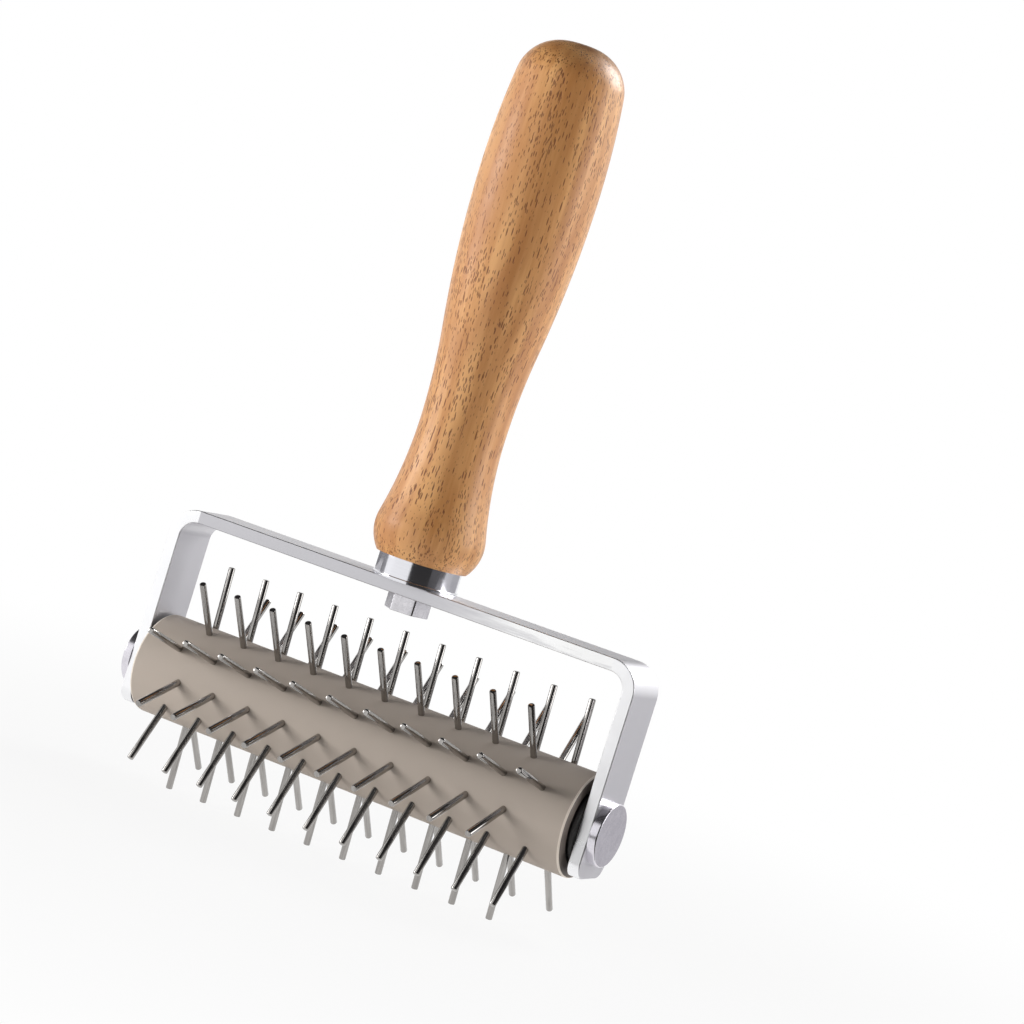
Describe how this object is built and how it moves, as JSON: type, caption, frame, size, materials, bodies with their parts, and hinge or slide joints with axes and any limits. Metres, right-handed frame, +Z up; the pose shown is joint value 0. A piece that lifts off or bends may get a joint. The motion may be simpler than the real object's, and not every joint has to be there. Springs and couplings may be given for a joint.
{
  "type": "dough docker",
  "caption": "Hand tool for pricking dough: a turned wooden handle on a bent metal strap that carries a free-turning drum with staggered rows of blunt steel pins.",
  "frame": {"origin": "middle of the bounding box's bottom face: under the middle of the drum, level with the lowest pin tip", "axes": "+Z up the handle, X along the drum's axle, -Y the side the picture is taken from"},
  "size_m": [0.1316, 0.0536, 0.1965],
  "materials": {
    "wood": "satin lacquer over open-pored light brown wood, grain along the handle",
    "chrome_collar": "mirror bright",
    "brass_insert": "turned, hidden in the handle",
    "zinc_screws": "satin zinc plate",
    "satin_strap": "satin, with brighter edges",
    "steel_rod": "ground",
    "nylon_washers": "matt black",
    "taupe_drum": "satin taupe",
    "dark_caps": "matt, near black",
    "steel_pins": "bright drawn wire with blunt, lightly chamfered tips"
  },
  "bodies": {
    "frame": {"handle": "wood", "handle_insert": "brass_insert", "ferrule": "chrome_collar", "yoke_frame": "satin_strap", "handle_bolt": "zinc_screws", "axle_rod": "steel_rod", "axle_screw_left": "zinc_screws", "axle_screw_right": "zinc_screws", "thrust_washer_left": "nylon_washers", "thrust_washer_right": "nylon_washers"},
    "roller": {"drum": "taupe_drum", "end_cap_left": "dark_caps", "end_cap_right": "dark_caps", "bush_left": "nylon_washers", "bush_right": "nylon_washers", "pin_row_01": "steel_pins", "pin_row_02": "steel_pins", "pin_row_03": "steel_pins", "pin_row_04": "steel_pins", "pin_row_05": "steel_pins", "pin_row_06": "steel_pins", "pin_row_07": "steel_pins", "pin_row_08": "steel_pins", "pin_row_09": "steel_pins", "pin_row_10": "steel_pins"}
  },
  "joints": [
    {"name": "roller_spin", "type": "hinge", "parent": "frame", "child": "roller", "pos_m": [0, 0, 0.02746], "axis": [1, 0, 0], "continuous": true}
  ]
}
